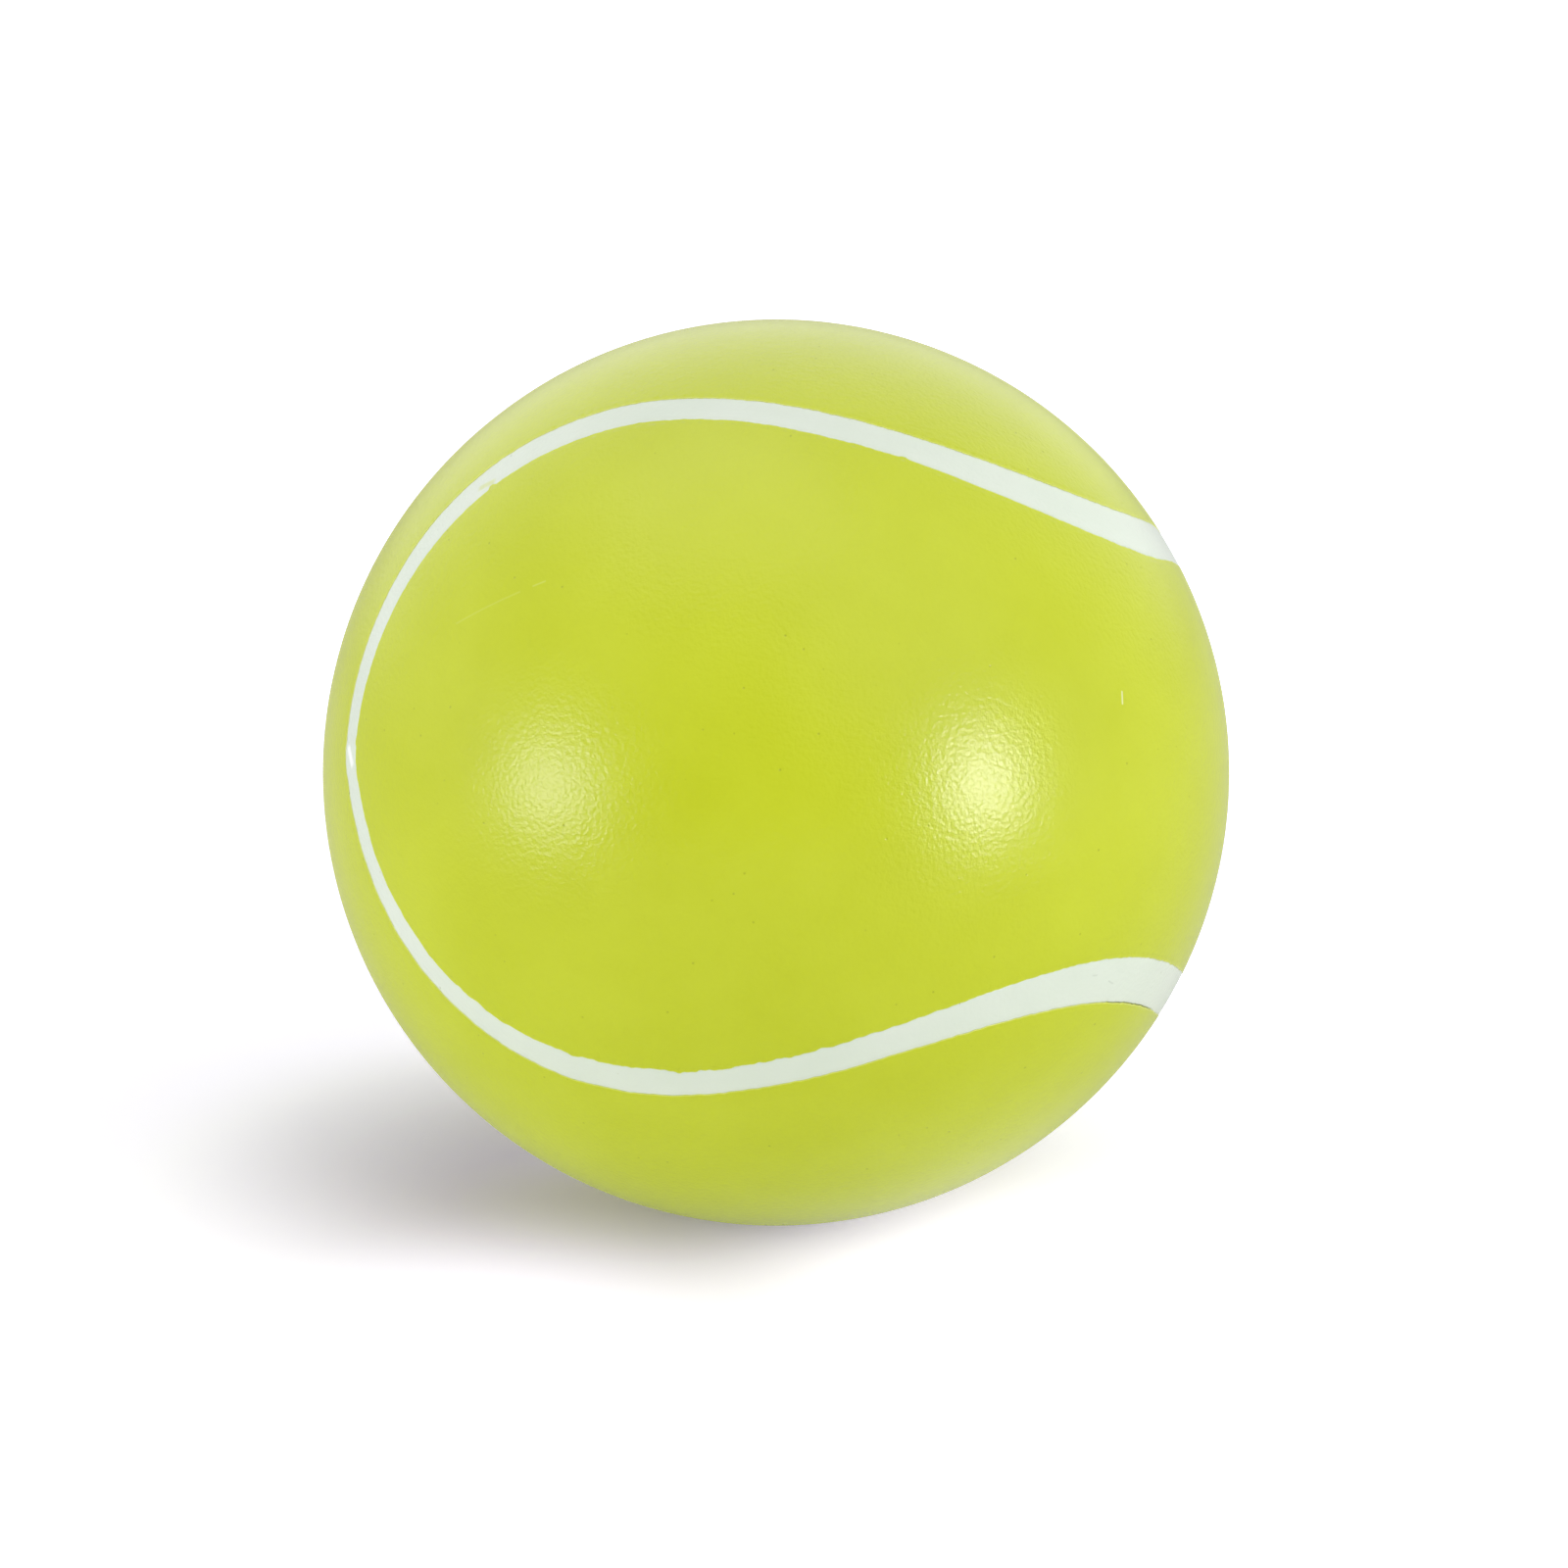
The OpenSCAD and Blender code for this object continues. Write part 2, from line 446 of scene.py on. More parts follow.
def coat_rule():
    """A sprayed coat on a moulded ball: long waves of the foam, orange peel of the spray, and a rounded lip
    at its border."""
    tree, size, out = rule_tree("sprayed_coat", {
        "Wave size": 11 * MM, "Wave height": 0.03 * MM, "Peel size": 1.4 * MM, "Peel height": 0.006 * MM,
        "Lip width": LIP_W, "Lip height": LIME_T, "Seed": 1.0})
    place = add(tree, "GeometryNodeInputPosition").outputs[0]
    outward = add(tree, "ShaderNodeVectorMath", {0: place}, operation="NORMALIZE").outputs[0]
    edge, free = (
        add(tree, "GeometryNodeInputNamedAttribute", {"Name": name}, data_type="FLOAT").outputs[0]
        for name in ("edge", "free"))
    total = 0.0
    for kind in ("Wave", "Peel"):
        scale = add(tree, "ShaderNodeMath", {0: 1.0, 1: size[kind + " size"]}, operation="DIVIDE").outputs[0]
        noise = add(tree, "ShaderNodeTexNoise",
                    {"Vector": place, "W": size["Seed"], "Scale": scale, "Detail": 1.0},
                    noise_dimensions="4D").outputs[0]
        total = add(tree, "ShaderNodeMath", {0: noise, 1: size[kind + " height"], 2: total},
                    operation="MULTIPLY_ADD").outputs[0]
    # The lip is a quarter of an ellipse, and the waves fade out over it
    t = add(tree, "ShaderNodeMath", {0: edge, 1: size["Lip width"]}, operation="DIVIDE",
            use_clamp=True).outputs[0]
    left = add(tree, "ShaderNodeMath", {0: 1.0, 1: t}, operation="SUBTRACT").outputs[0]
    square = add(tree, "ShaderNodeMath", {0: left, 1: left}, operation="MULTIPLY").outputs[0]
    under = add(tree, "ShaderNodeMath", {0: 1.0, 1: square}, operation="SUBTRACT", use_clamp=True).outputs[0]
    root = add(tree, "ShaderNodeMath", {0: under}, operation="SQRT").outputs[0]
    rounded = add(tree, "ShaderNodeMath", {0: 1.0, 1: root}, operation="SUBTRACT").outputs[0]
    faded = add(tree, "ShaderNodeMath", {0: total, 1: t}, operation="MULTIPLY").outputs[0]
    drop = add(tree, "ShaderNodeMath", {0: rounded, 1: size["Lip height"], 2: faded},
               operation="MULTIPLY_ADD").outputs[0]
    lower = add(tree, "ShaderNodeMath", {0: drop, 1: free}, operation="MULTIPLY").outputs[0]
    inward = add(tree, "ShaderNodeMath", {0: lower, 1: -1.0}, operation="MULTIPLY").outputs[0]
    move = add(tree, "ShaderNodeVectorMath", {0: outward, "Scale": inward}, operation="SCALE").outputs[0]
    moved = add(tree, "GeometryNodeSetPosition", {"Geometry": size["Geometry"], "Offset": move}).outputs[0]
    return end_tree(tree, size, out, moved)


def line_rule():
    """The white paint: a flat band swept along the seam, with its own two edges at each place and a sag
    between them. Its section is a circle pulled out towards a rectangle."""
    sides, squareness, widening = 28, 0.12, 1.03
    tree, size, out = rule_tree("line_along_seam", {
        "Floor radius": FLOOR_R, "Thickness": LINE_T, "Sag": 0.012 * MM, "Peel size": 1.2 * MM,
        "Peel height": 0.006 * MM, "Seed": 4.0})
    ring = add(tree, "GeometryNodeCurvePrimitiveCircle", {"Resolution": sides, "Radius": 1.0}).outputs[0]
    corner = add(tree, "GeometryNodeInputPosition").outputs[0]
    parts = add(tree, "ShaderNodeSeparateXYZ", {0: corner}).outputs
    sign = add(tree, "ShaderNodeMath", {0: parts[1]}, operation="SIGN").outputs[0]
    tall = add(tree, "ShaderNodeMath", {0: parts[1]}, operation="ABSOLUTE").outputs[0]
    flat = add(tree, "ShaderNodeMath", {0: tall, 1: squareness}, operation="POWER").outputs[0]
    rise = add(tree, "ShaderNodeMath", {0: flat, 1: sign}, operation="MULTIPLY").outputs[0]
    wide = add(tree, "ShaderNodeMath", {0: parts[0], 1: widening}, operation="MULTIPLY").outputs[0]
    share = add(tree, "ShaderNodeClamp", {"Value": wide, "Min": -1.0, "Max": 1.0}).outputs[0]
    for name, value in (("share", share), ("rise", rise)):
        ring = add(tree, "GeometryNodeStoreNamedAttribute", {"Geometry": ring, "Name": name, "Value": value},
                   data_type="FLOAT", domain="POINT").outputs[0]
    path = add(tree, "GeometryNodeMeshToCurve", {"Mesh": size["Geometry"]}).outputs[0]
    band = add(tree, "GeometryNodeCurveToMesh", {"Curve": path, "Profile Curve": ring}).outputs[0]
    got = {
        name: add(tree, "GeometryNodeInputNamedAttribute", {"Name": name}, data_type=kind).outputs[0]
        for name, kind in (("share", "FLOAT"), ("rise", "FLOAT"), ("near_edge", "FLOAT"),
                           ("far_edge", "FLOAT"), ("middle", "FLOAT_VECTOR"), ("across", "FLOAT_VECTOR"))}
    angle = add(tree, "ShaderNodeMapRange", {
        "Value": got["share"], "From Min": -1.0, "From Max": 1.0,
        "To Min": got["near_edge"], "To Max": got["far_edge"]}).outputs[0]
    legs = []
    for turn, direction in (("COSINE", "middle"), ("SINE", "across")):
        part = add(tree, "ShaderNodeMath", {0: angle}, operation=turn).outputs[0]
        legs.append(add(tree, "ShaderNodeVectorMath", {0: got[direction], "Scale": part},
                        operation="SCALE").outputs[0])
    outward = add(tree, "ShaderNodeVectorMath", {0: legs[0], 1: legs[1]}, operation="ADD").outputs[0]
    scale = add(tree, "ShaderNodeMath", {0: FOAM_R, 1: size["Peel size"]}, operation="DIVIDE").outputs[0]
    noise = add(tree, "ShaderNodeTexNoise",
                {"Vector": outward, "W": size["Seed"], "Scale": scale, "Detail": 1.0},
                noise_dimensions="4D").outputs[0]
    crown = add(tree, "ShaderNodeMath", {0: got["share"], 1: got["share"]}, operation="MULTIPLY").outputs[0]
    hollow = add(tree, "ShaderNodeMath", {0: 1.0, 1: crown}, operation="SUBTRACT").outputs[0]
    sag = add(tree, "ShaderNodeMath", {0: hollow, 1: size["Sag"]}, operation="MULTIPLY").outputs[0]
    low = add(tree, "ShaderNodeMath", {0: noise, 1: size["Peel height"], 2: sag},
              operation="MULTIPLY_ADD").outputs[0]
    level = add(tree, "ShaderNodeMapRange", {
        "Value": got["rise"], "From Min": -1.0, "From Max": 1.0,
        "To Min": 0.0, "To Max": size["Thickness"]}).outputs[0]
    upper = add(tree, "ShaderNodeMath", {0: got["rise"], 1: 0.5}, operation="GREATER_THAN").outputs[0]
    dip = add(tree, "ShaderNodeMath", {0: low, 1: upper}, operation="MULTIPLY").outputs[0]
    height = add(tree, "ShaderNodeMath", {0: level, 1: dip}, operation="SUBTRACT").outputs[0]
    radius = add(tree, "ShaderNodeMath", {0: height, 1: size["Floor radius"]}, operation="ADD").outputs[0]
    spot = add(tree, "ShaderNodeVectorMath", {0: outward, "Scale": radius}, operation="SCALE").outputs[0]
    placed = add(tree, "GeometryNodeSetPosition", {"Geometry": band, "Position": spot}).outputs[0]
    return end_tree(tree, size, out, placed)


def cell_rule():
    """Soft foam inside its skin: a ball whose surface is the cut-open bubbles of the foam."""
    tree, size, out = rule_tree("foam_cells", {
        "Radius": CORE_R, "Cell size": 1.6 * MM, "Cell depth": 0.3 * MM, "Seed": 2.0})
    ball = add(tree, "GeometryNodeMeshIcoSphere", {"Radius": size["Radius"], "Subdivisions": 7}).outputs[0]
    place = add(tree, "GeometryNodeInputPosition").outputs[0]
    outward = add(tree, "ShaderNodeVectorMath", {0: place}, operation="NORMALIZE").outputs[0]
    scale = add(tree, "ShaderNodeMath", {0: 1.0, 1: size["Cell size"]}, operation="DIVIDE").outputs[0]
    cell = add(tree, "ShaderNodeTexVoronoi", {"Vector": place, "W": size["Seed"], "Scale": scale},
               voronoi_dimensions="4D", feature="F1").outputs["Distance"]
    wall = add(tree, "ShaderNodeMath", {0: 1.0, 1: cell}, operation="SUBTRACT", use_clamp=True).outputs[0]
    depth = add(tree, "ShaderNodeMath", {0: wall, 1: size["Cell depth"]}, operation="MULTIPLY").outputs[0]
    inward = add(tree, "ShaderNodeMath", {0: depth, 1: -1.0}, operation="MULTIPLY").outputs[0]
    move = add(tree, "ShaderNodeVectorMath", {0: outward, "Scale": inward}, operation="SCALE").outputs[0]
    moved = add(tree, "GeometryNodeSetPosition", {"Geometry": ball, "Offset": move}).outputs[0]
    return end_tree(tree, size, out, moved)


def finish_of(name):
    """A material with one Principled shader: (material, tree, shader, object coordinates)."""
    material = bpy.data.materials.new(name)
    material.use_nodes = True
    tree = material.node_tree
    tree.nodes.clear()
    shader = add(tree, "ShaderNodeBsdfPrincipled")
    add(tree, "ShaderNodeOutputMaterial", {"Surface": shader.outputs[0]})
    return material, tree, shader, add(tree, "ShaderNodeTexCoord").outputs["Object"]


def stroke(tree, place, first, last, width):
    """1 along a short stroke between two places on the ball, given in millimetres, and 0 past its half width.
    The stroke is solid over a fifth of that."""
    first, last = (Vector(end).normalized() * BALL_R for end in (first, last))
    half = (last - first).length / 2
    share = 1.0
    ranges = (first.cross(last), 0.2 * width, width), (last - first, half, half + width)
    for direction, start, end in ranges:
        off = add(tree, "ShaderNodeVectorMath", {0: place, 1: direction.normalized()},
                  operation="DOT_PRODUCT").outputs["Value"]
        off = add(tree, "ShaderNodeMath", {0: off}, operation="ABSOLUTE").outputs[0]
        part = add(tree, "ShaderNodeMapRange", {
            "Value": off, "From Min": start, "From Max": end, "To Min": 1.0, "To Max": 0.0},
            interpolation_type="SMOOTHSTEP").outputs[0]
        share = add(tree, "ShaderNodeMath", {0: share, 1: part}, operation="MULTIPLY").outputs[0]
    side = add(tree, "ShaderNodeVectorMath", {0: place, 1: first}, operation="DOT_PRODUCT").outputs["Value"]
    near = add(tree, "ShaderNodeMath", {0: side, 1: 0.0}, operation="GREATER_THAN").outputs[0]
    return add(tree, "ShaderNodeMath", {0: share, 1: near}, operation="MULTIPLY").outputs[0]


def sprayed_paint(name, body_hex, thin_hex, thin_edge_and_highlight_hex, peel_height, strokes):
    """Flexible polyurethane paint, sprayed on a moulded skin and dried satin: an even colour, a little
    lighter where the coat is thin, with the fine dimples of orange peel, which break its soft highlights
    into grains."""
    coverage_size, peel_size, pinhole_gap = 9 * MM, 0.34 * MM, 1.9 * MM
    # As a share of the peel's height
    pinhole_depth = 1.5
    material, tree, shader, place = finish_of(name)
    shader.inputs["Roughness"].default_value = 0.27
    shader.inputs["IOR"].default_value = 1.42
    coverage = add(tree, "ShaderNodeTexNoise",
                   {"Vector": place, "Scale": 1 / coverage_size, "Detail": 3.0}).outputs[0]
    share = add(tree, "ShaderNodeMapRange", {
        "Value": coverage, "From Min": 0.35, "From Max": 0.7, "To Min": 0.0, "To Max": 1.0}).outputs[0]
    tone = add(tree, "ShaderNodeMix", {0: share, 6: colour(body_hex), 7: colour(thin_hex)},
               data_type="RGBA").outputs[2]
    if thin_edge_and_highlight_hex:
        # Paler along the coat's border, where the spray thins out, and also a painted highlight where light
        # catches the rounded lip
        edge = add(tree, "ShaderNodeAttribute", attribute_name="edge").outputs["Fac"]
        feather_and_highlight = add(tree, "ShaderNodeMapRange", {
            "Value": edge, "From Min": 0.02 * MM, "From Max": 0.12 * MM,
            "To Min": 0.45, "To Max": 0.0}).outputs[0]
        tone = add(tree, "ShaderNodeMix", {0: feather_and_highlight, 6: tone, 7: colour(thin_edge_and_highlight_hex)},
                   data_type="RGBA").outputs[2]
    # Marks on the paint, and on the white also a painted glint where light catches a crease
    for first, last, width, hex_code, strength in strokes:
        mark_and_glint = stroke(tree, place, first, last, width * MM)
        mark_and_glint = add(tree, "ShaderNodeMath", {0: mark_and_glint, 1: strength}, operation="MULTIPLY").outputs[0]
        tone = add(tree, "ShaderNodeMix", {0: mark_and_glint, 6: tone, 7: colour(hex_code)},
                   data_type="RGBA").outputs[2]
    # Pinholes where a bubble burst as the paint dried, each darker inside with painted shade
    hole = add(tree, "ShaderNodeTexVoronoi", {"Vector": place, "Scale": 1 / pinhole_gap}).outputs["Distance"]
    pinhole_and_shade = add(tree, "ShaderNodeMapRange", {
        "Value": hole, "From Min": 0.02, "From Max": 0.06, "To Min": 0.35, "To Max": 0.0}).outputs[0]
    tone = add(tree, "ShaderNodeMix", {0: pinhole_and_shade, 6: tone, 7: colour("#77801C")},
               data_type="RGBA").outputs[2]
    tree.links.new(tone, shader.inputs["Base Color"])
    fine = add(tree, "ShaderNodeTexNoise",
               {"Vector": place, "Scale": 1 / peel_size, "Detail": 2.0}).outputs[0]
    height = add(tree, "ShaderNodeMath", {0: pinhole_and_shade, 1: -pinhole_depth, 2: fine},
                 operation="MULTIPLY_ADD").outputs[0]
    bump = add(tree, "ShaderNodeBump", {"Height": height, "Strength": 1.0, "Distance": peel_height})
    tree.links.new(bump.outputs[0], shader.inputs["Normal"])
    return material


def soft_foam(name, body_hex, pore_shade_hex, cell):
    """Flexible polyurethane foam, poured and risen in a mould: cream, matt, and pitted with open cells."""
    material, tree, shader, place = finish_of(name)
    shader.inputs["Roughness"].default_value = 0.9
    # Darker towards the middle of each open cell: painted shade in the pores
    pores = add(tree, "ShaderNodeTexVoronoi", {"Vector": place, "Scale": 1 / cell}).outputs["Distance"]
    share = add(tree, "ShaderNodeMapRange", {
        "Value": pores, "From Min": 0.1, "From Max": 0.6, "To Min": 0.0, "To Max": 1.0}).outputs[0]
    tone = add(tree, "ShaderNodeMix", {0: share, 6: colour(pore_shade_hex), 7: colour(body_hex)},
               data_type="RGBA").outputs[2]
    tree.links.new(tone, shader.inputs["Base Color"])
    bump = add(tree, "ShaderNodeBump", {"Height": pores, "Strength": 1.0, "Distance": 0.1 * cell})
    tree.links.new(bump.outputs[0], shader.inputs["Normal"])
    return material


# Marks of handling: two ends in millimetres, half width in millimetres, colour and strength. The ends of
# those in the photograph were picked in it, and a program worked out where they lie on the ball. On
# the lime these are a long faint scratch in two parts and a small pale dash. The scuffs above, behind and
# below are made up.
LIME_STROKES = (
    ((-20.82, -18.04, 15.78), (-16.38, -19.99, 18.44), 0.12, "#E4E98C", 0.12),
    ((-15.43, -20.30, 18.92), (-14.61, -20.54, 19.31), 0.11, "#E4E98C", 0.2),
    ((24.22, -17.68, 10.42), (24.25, -18.06, 9.70), 0.11, "#F2EEC4", 0.6),
    ((9.0, 28.5, 10.9), (12.2, 26.3, 13.1), 0.12, "#E4E98C", 0.45),
    ((-14.0, 24.0, -15.5), (-10.6, 25.6, -15.4), 0.1, "#9AA51A", 0.4),
    ((-6.5, 8.0, 30.0), (-3.1, 10.4, 29.8), 0.11, "#E4E98C", 0.4),
    ((5.0, -3.0, -31.2), (9.5, 0.5, -30.3), 0.25, "#C9C59A", 0.35),
)
# On the white: a smear of lime, a painted glint where light catches a crease at the left, and two faint lines
# at the lower right
WHITE_STROKES = (
    ((-19.48, -9.56, 23.17), (-18.71, -9.95, 23.64), 0.42, "#C9D24A", 0.5),
    ((-28.97, -11.85, 5.31), (-28.73, -12.75, 4.51), 0.42, "#FAFDF9", 0.95),
    ((22.10, -21.08, -8.66), (22.37, -20.77, -8.73), 0.1, "#A9B4A4", 0.3),
    ((23.17, -19.50, -9.54), (23.44, -19.01, -9.87), 0.1, "#A9B4A4", 0.3),
)
lime_paint = sprayed_paint("satin_lime_polyurethane_paint", "#BFCA1D", "#C3CE26", "#E4E98C", 0.042 * MM,
                           LIME_STROKES)
white_paint = sprayed_paint("satin_white_polyurethane_paint", "#D8E2D3", "#DEE6D9", None, 0.03 * MM,
                            WHITE_STROKES)
cell_foam = soft_foam("open_cell_polyurethane_foam", "#EFE6C2", "#CDBF8E", 0.9 * MM)
skin_foam = soft_foam("integral_skin_polyurethane_foam", "#E8DDB0", "#D8CB97", 0.5 * MM)

# Pieces: two coats, the line, the foam and its skin
sprayed_coat = coat_rule()
coats = []
for name, edge, side, pole, seed in (
    ("lime_paint_front_back", EDGE_FRONT, -1, FRONT_POLE, 1.0),
    ("lime_paint_top_bottom", COAT_TOP, 1, TOP_POLE, 6.0),
):
    coat = coat_layer(name, edge, side, pole)
    shape(coat, sprayed_coat, lime_paint, **{"Lip width": LIP_W, "Lip height": LIP_DROP, "Seed": seed})
    coats.append(coat)

line = seam_line("white_line_paint")
shape(line, line_rule(), white_paint)

core = put_in_scene("foam_core_cells", bpy.data.meshes.new("foam_core_cells"))
shape(core, cell_rule(), cell_foam)

skin = moulded_skin("foam_skin_moulded")
shape(skin, sprayed_coat, skin_foam,
      **{"Lip height": 0.0, "Wave height": 0.01 * MM, "Peel height": 0.004 * MM, "Seed": 9.0})

for piece, node, slot in (
    (coats[0], "lime_coat_front_back", "lime_paint"), (coats[1], "lime_coat_top_bottom", "lime_paint"),
    (line, "white_line", "white_paint"), (skin, "foam_skin", "foam_skin"), (core, "foam_core", "soft_foam"),
):
    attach(piece, "root")
    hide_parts(node)


def toward(azimuth, elevation):
    """The direction to a place about the ball: azimuth in radians from straight in front to the right."""
    level = math.cos(elevation)
    return Vector((math.sin(azimuth) * level, -math.cos(azimuth) * level, math.sin(elevation)))


# Camera: in front of the ball and a little above it, with a small roll, framed as in the photograph
CAMERA_AZIMUTH = math.radians(2.04)
CAMERA_ELEVATION = math.radians(15.66)
CAMERA_ROLL = math.radians(-1.08)
CAMERA_AWAY = 20 * BALL_R
back = toward(CAMERA_AZIMUTH, CAMERA_ELEVATION)
level = Vector((math.cos(CAMERA_AZIMUTH), math.sin(CAMERA_AZIMUTH), 0))
above = back.cross(level)
right = level * math.cos(CAMERA_ROLL) + above * math.sin(CAMERA_ROLL)
above = back.cross(right)
camera = put_in_scene("camera", bpy.data.cameras.new("camera"))
turned = Matrix((right, above, back)).transposed().to_4x4()
camera.matrix_world = Matrix.Translation(back * CAMERA_AWAY) @ turned
camera.data.lens = 208.0
camera.data.sensor_width = 36.0
camera.data.shift_x = 0.0051
camera.data.shift_y = -0.0073
camera.data.clip_start = 0.05
camera.data.clip_end = 20.0
bpy.context.scene.camera = camera

# The floor's painted glow, which gives the ball's shadow its shape: middle in millimetres, the distances
# between which it changes, and its strength at each. The first is least in the ball's shadow and grows away
# from it, the second is the floor far off, the third lifts the shadow's front edge, and the last the floor
# below the ball's front right, which the paint mirrors.
FLOOR_GLOWS = (
    ((-12, 11.5), 8, 37, 0.06, 0.46), ((0, 0), 60, 200, 0.0, 0.3), ((-18, -16), 0, 18, 0.18, 0.0),
    ((14, -9), 0, 24, 0.44, 0.0),
)
# To the camera the paper is darker and a touch violet beside the ball: painted shade that deepens the ball's
# shadow and takes out the lime light that falls on it
VIOLET_SHADE_MIDDLE = (-10, 2)
VIOLET_SHADE_FROM, VIOLET_SHADE_TO = 14 * MM, 36 * MM
# How much darker the paint mirrors the paper, and the even painted glow of the paper that it mirrors and
# is lit by
MIRRORED_DIM = 0.35
MIRRORED_GLOW = 0.18
LIGHTING_GLOW = 0.11
# How far the paper reaches to each side, in metres
FLOOR_REACH = 4.0


def paper_sweep(name):
    """A sheet of matt white paper that the ball lies on, whiter to the camera, with a painted glow that
    shapes the ball's shadow and faintly lights the ball.
    """
    paper = bpy.data.materials.new(name)
    paper.use_nodes = True
    tree = paper.node_tree
    tree.nodes.clear()
    place = add(tree, "ShaderNodeTexCoord").outputs["Object"]
    ray = add(tree, "ShaderNodeLightPath").outputs

    def away_from(middle):
        spot = (middle[0] * MM, middle[1] * MM, -BALL_R)
        return add(tree, "ShaderNodeVectorMath", {0: place, 1: spot}, operation="DISTANCE").outputs["Value"]

    # Darker and a touch violet beside the ball, to the camera only: painted shade
    beside = add(tree, "ShaderNodeMapRange", {
        "Value": away_from(VIOLET_SHADE_MIDDLE), "From Min": VIOLET_SHADE_FROM, "From Max": VIOLET_SHADE_TO,
        "To Min": 1.0, "To Max": 0.0}).outputs[0]
    beside = add(tree, "ShaderNodeMath", {0: beside, 1: ray["Is Camera Ray"]},
                 operation="MULTIPLY").outputs[0]
    tone = add(tree, "ShaderNodeMix", {0: beside, 6: colour("#FAFAFA"), 7: colour("#DDD4F7")},
               data_type="RGBA").outputs[2]
    dim = add(tree, "ShaderNodeMath", {0: ray["Is Glossy Ray"], 1: MIRRORED_DIM},
              operation="MULTIPLY").outputs[0]
    tone = add(tree, "ShaderNodeMix", {0: dim, 6: tone, 7: BLACK}, data_type="RGBA").outputs[2]
    matt = add(tree, "ShaderNodeBsdfDiffuse", {"Color": tone}).outputs[0]
    # Painted glow: it gives the ball's shadow its shape and lights the floor round it
    glows = [
        add(tree, "ShaderNodeMapRange", {
            "Value": away_from(middle), "From Min": start * MM, "From Max": end * MM,
            "To Min": low, "To Max": high}, interpolation_type="SMOOTHSTEP").outputs[0]
        for middle, start, end, low, high in FLOOR_GLOWS]
    around = add(tree, "ShaderNodeMath", {0: glows[0], 1: glows[1]}, operation="ADD").outputs[0]
    around = add(tree, "ShaderNodeMath", {0: around, 1: glows[2]}, operation="ADD").outputs[0]
    around = add(tree, "ShaderNodeMath", {0: around, 1: ray["Is Camera Ray"]},
                 operation="MULTIPLY").outputs[0]
    direct = add(tree, "ShaderNodeMath", {0: ray["Is Camera Ray"], 1: ray["Is Glossy Ray"]},
                 operation="MAXIMUM").outputs[0]
    seen = add(tree, "ShaderNodeMath", {0: glows[3], 1: direct, 2: around},
               operation="MULTIPLY_ADD").outputs[0]
    mirrored = add(tree, "ShaderNodeMath", {0: ray["Is Glossy Ray"], 1: MIRRORED_GLOW, 2: seen},
                   operation="MULTIPLY_ADD").outputs[0]
    strength = add(tree, "ShaderNodeMath", {0: ray["Is Diffuse Ray"], 1: LIGHTING_GLOW, 2: mirrored},
                   operation="MULTIPLY_ADD").outputs[0]
    glow = add(tree, "ShaderNodeEmission", {"Color": colour("#EFEAFF"), "Strength": strength}).outputs[0]
    both = add(tree, "ShaderNodeAddShader", {0: matt, 1: glow}).outputs[0]
    add(tree, "ShaderNodeOutputMaterial", {"Surface": both})
    return paper


corners = [(x * FLOOR_REACH, y * FLOOR_REACH, -BALL_R) for x, y in ((-1, -1), (1, -1), (1, 1), (-1, 1))]
floor_mesh = bpy.data.meshes.new("floor")
floor_mesh.from_pydata(corners, [], [(0, 1, 2, 3)])
floor_mesh.materials.append(paper_sweep("white_paper_sweep"))
floor = put_in_scene("floor", floor_mesh)

# Soft lamps about the ball: azimuth from straight in front towards the right, elevation, distance, half
# width and height, and how bright the lamp's face is, where 1 is white. The first six light the ball and
# the floor. The other three are the bright faces that the paint mirrors, a touch violet. The strengths of
# the lamps, the room and the floor's glow began as values that programs fitted to the photograph, and some
# were then changed one by one.
LAMPS = (
    ("key_front_right", 50, 46, 1.0, 0.577, 0.577, 1.72, True),
    ("fill_left", -55, 12, 0.9, 0.241, 0.241, 3.75, True),
    ("fill_right", 55, 12, 0.9, 0.241, 0.241, 1.7, True),
    ("top_left", -110, 68, 1.0, 0.466, 0.466, 0.36, True),
    ("side_left", -88, 4, 0.9, 0.3, 0.3, 2.5, True),
    ("side_right", 88, 4, 0.9, 0.3, 0.3, 2.2, True),
    ("shine_left", -55.9, 4.6, 0.9, 0.165, 0.175, 10.9, False),
    ("shine_right", 54.8, 5.6, 0.9, 0.12, 0.165, 27.0, False),
    ("shine_top", -60, 80, 1.0, 0.466, 0.466, 1.3, False),
)
# The heights on the ball between which the flag above a lamp takes its light away
FLAG_FROM, FLAG_TO = 11 * MM, 21 * MM


def flag_above(lamp, distance):
    """Keeps a lamp's light off the ball's crown, so that no rim burns out when it is seen from behind. In a
    lamp, Incoming is the way from its face to the place that it lights."""
    lamp.use_nodes = True
    tree = lamp.node_tree
    tree.nodes.clear()
    beam = add(tree, "ShaderNodeNewGeometry").outputs
    lit = add(tree, "ShaderNodeVectorMath", {0: beam["Incoming"], 1: (distance,) * 3, 2: beam["Position"]},
              operation="MULTIPLY_ADD").outputs[0]
    height = add(tree, "ShaderNodeSeparateXYZ", {0: lit}).outputs[2]
    share = add(tree, "ShaderNodeMapRange", {
        "Value": height, "From Min": FLAG_FROM, "From Max": FLAG_TO, "To Min": 1.0, "To Max": 0.0},
        interpolation_type="SMOOTHSTEP").outputs[0]
    flagged = add(tree, "ShaderNodeEmission", {"Color": WHITE, "Strength": share}).outputs[0]
    add(tree, "ShaderNodeOutputLight", {"Surface": flagged})


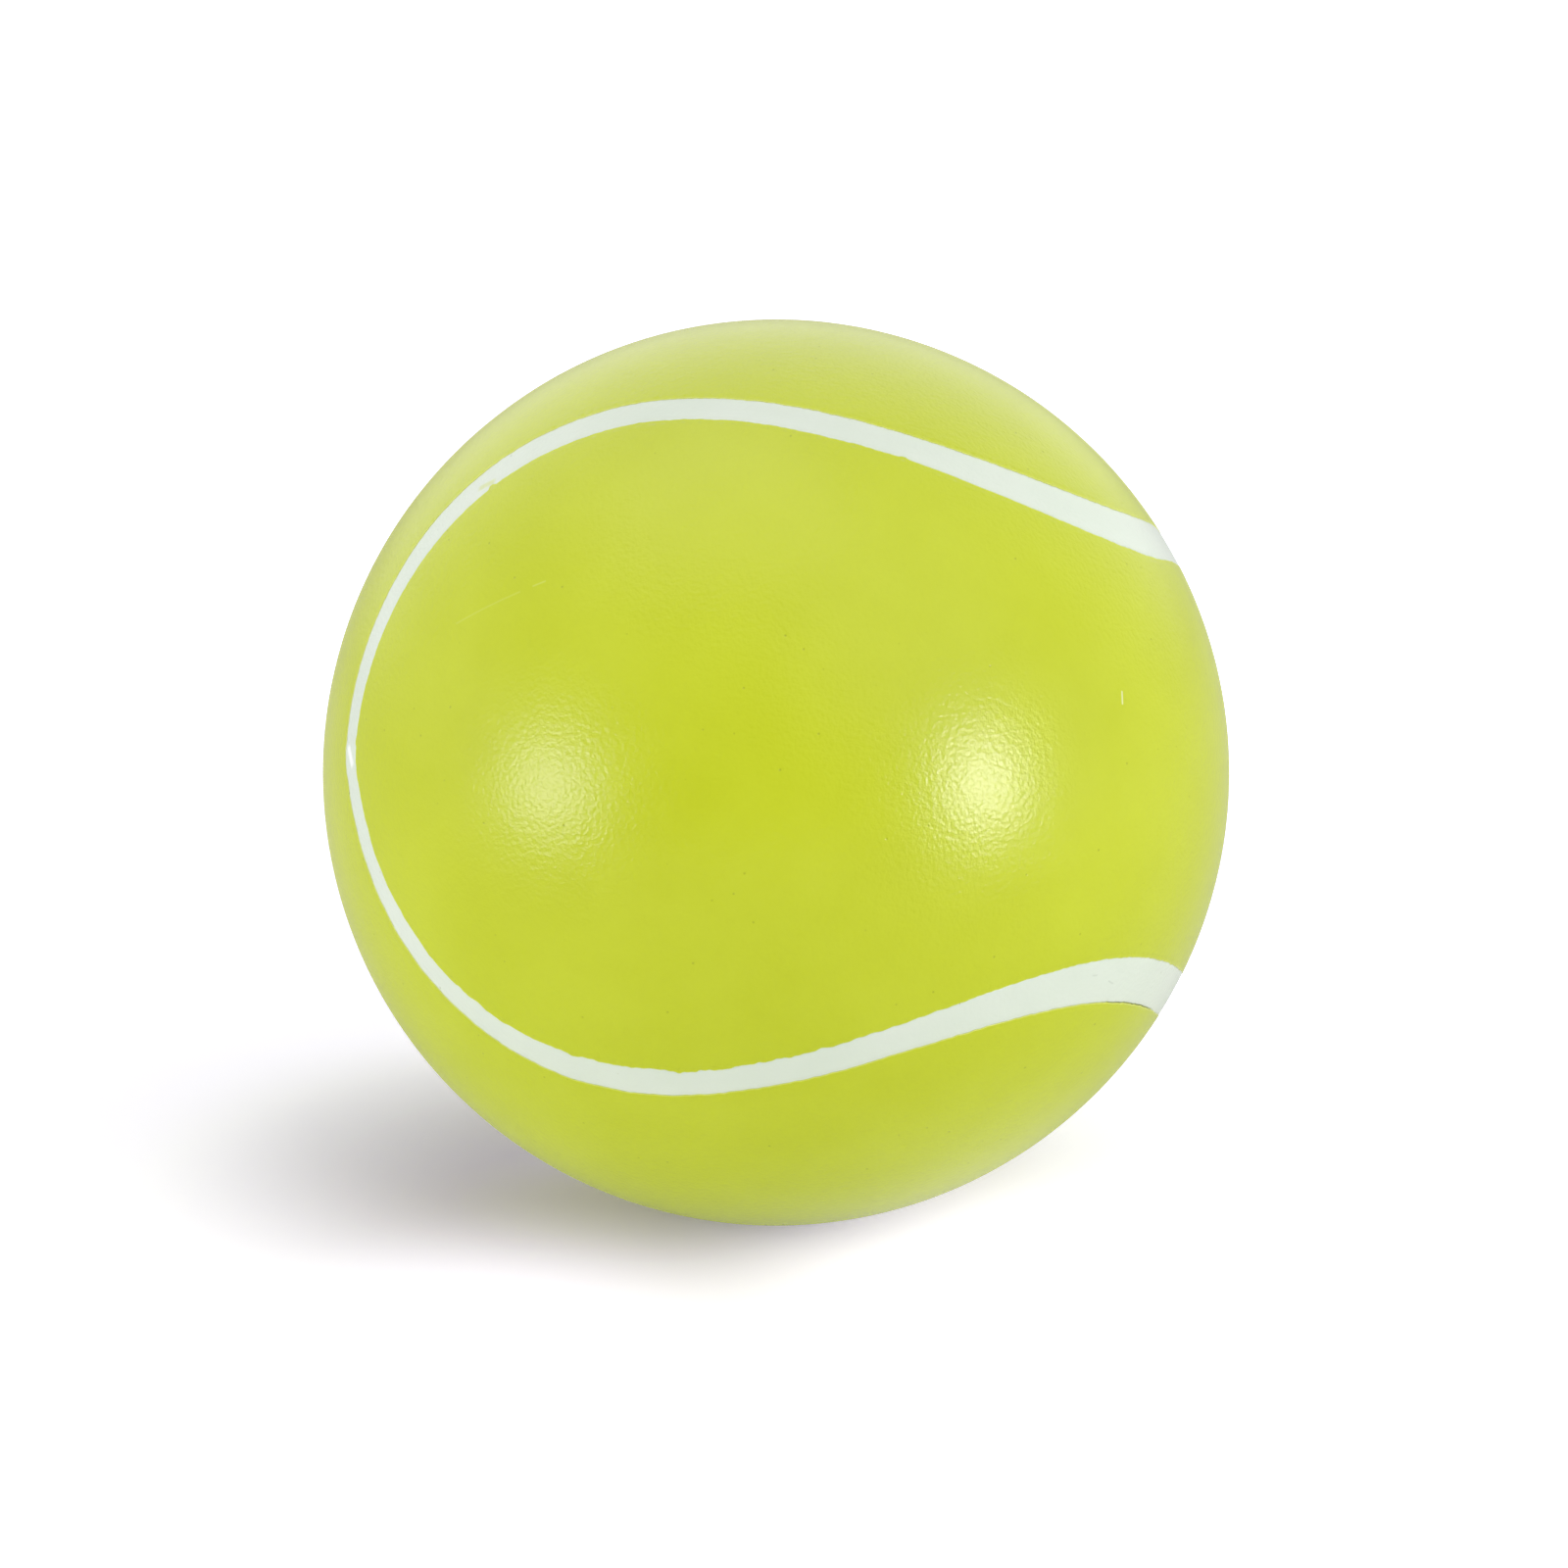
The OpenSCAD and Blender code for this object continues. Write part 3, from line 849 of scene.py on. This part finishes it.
for name, azimuth, elevation, distance, half_width, half_height, brightness, lights in LAMPS:
    way = toward(math.radians(azimuth), math.radians(elevation))
    lamp = bpy.data.lights.new(name, "AREA")
    lamp.shape = "ELLIPSE"
    lamp.size = 2 * half_width
    lamp.size_y = 2 * half_height
    lamp.energy = brightness * math.pi**2 * half_width * half_height
    lamp.color = (WHITE if lights else colour("#E4D9FF"))[:3]
    if name in ("shine_left", "shine_right"):
        flag_above(lamp, distance)
    stand = put_in_scene(name, lamp)
    stand.matrix_world = Matrix.Translation(way * distance) @ way.to_track_quat("Z", "Y").to_matrix().to_4x4()
    stand.visible_diffuse = lights
    stand.visible_glossy = not lights

# The room: how bright it is towards each side, as it lights the ball and as the paint mirrors it
ROOM_LIGHT = (((-1, 0, 0), 0.69), ((1, 0, 0), 0.51), ((0, -1, 0), 0.11), ((0, 1, 0), 0.25))
ROOM_MIRRORED = (((0, 0, 1), 1.37), ((0, 1, 0), 1.11), ((-1, 0, 0), 0.32), ((1, 0, 0), 0.1))


def studio_room(name):
    """A pale room that is white to the camera."""
    room = bpy.data.worlds.new(name)
    room.use_nodes = True
    tree = room.node_tree
    tree.nodes.clear()
    way = add(tree, "ShaderNodeTexCoord").outputs["Generated"]
    strengths = []
    for sides in (ROOM_LIGHT, ROOM_MIRRORED):
        total = 0.0
        for axis, brightness in sides:
            along = add(tree, "ShaderNodeVectorMath", {0: way, 1: axis},
                        operation="DOT_PRODUCT").outputs["Value"]
            facing = add(tree, "ShaderNodeMath", {0: along, 1: 0.0}, operation="MAXIMUM").outputs[0]
            total = add(tree, "ShaderNodeMath", {0: facing, 1: brightness, 2: total},
                        operation="MULTIPLY_ADD").outputs[0]
        strengths.append(total)
    ray = add(tree, "ShaderNodeLightPath").outputs
    strength = add(tree, "ShaderNodeMix", {0: ray["Is Glossy Ray"], 2: strengths[0], 3: strengths[1]},
                   data_type="FLOAT").outputs[0]
    lit = add(tree, "ShaderNodeBackground", {"Color": WHITE, "Strength": strength}).outputs[0]
    seen = add(tree, "ShaderNodeBackground", {"Color": WHITE, "Strength": 1.0}).outputs[0]
    mixed = add(tree, "ShaderNodeMixShader", {0: ray["Is Camera Ray"], 1: lit, 2: seen}).outputs[0]
    add(tree, "ShaderNodeOutputWorld", {"Surface": mixed})
    return room


bpy.context.scene.world = studio_room("room")
bpy.context.scene.view_settings.view_transform = "Standard"
